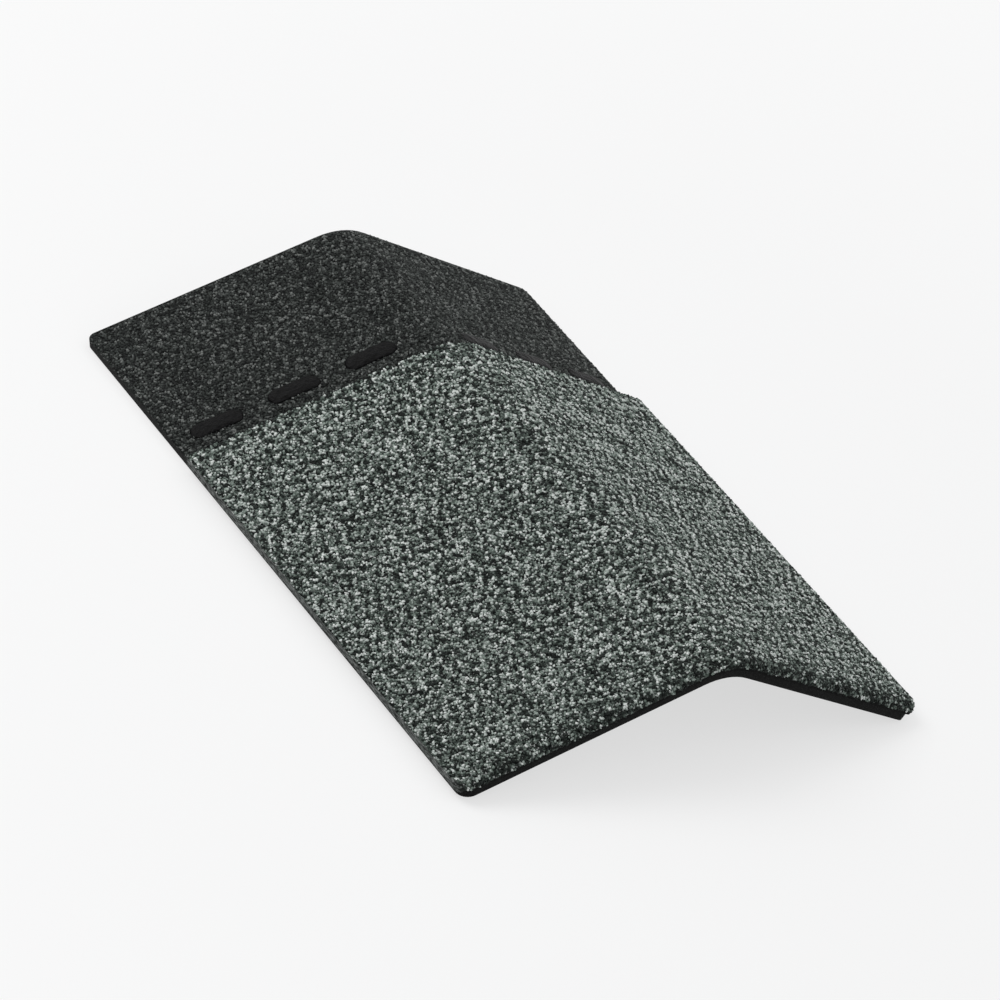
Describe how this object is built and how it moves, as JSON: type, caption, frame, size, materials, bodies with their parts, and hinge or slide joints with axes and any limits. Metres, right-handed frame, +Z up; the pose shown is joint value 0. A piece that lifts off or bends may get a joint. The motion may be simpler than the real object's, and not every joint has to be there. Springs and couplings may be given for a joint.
{
  "type": "hip and ridge cap shingle",
  "caption": "Thick asphalt cap shingle bent over a roof hip or ridge, with a granule covered exposed face, a rounded butt nose and a plain headlap.",
  "frame": {"origin": "bottom centre, on the floor that the two side edges stand on, below the fold at mid length", "axes": "+Z up, +Y up the hip from the butt to the headlap, +X across the fold to the right wing"},
  "size_m": [0.2444, 0.305, 0.0535],
  "materials": {
    "asphalt_base": "matt black modified asphalt with fine mineral dust",
    "granulated_face": "rough grey-green mineral granules on asphalt",
    "sealant": "glossy black asphalt adhesive"
  },
  "bodies": {
    "root": {"base_ply": "asphalt_base", "face_ply": "granulated_face", "seal_strip": "sealant"}
  },
  "joints": []
}
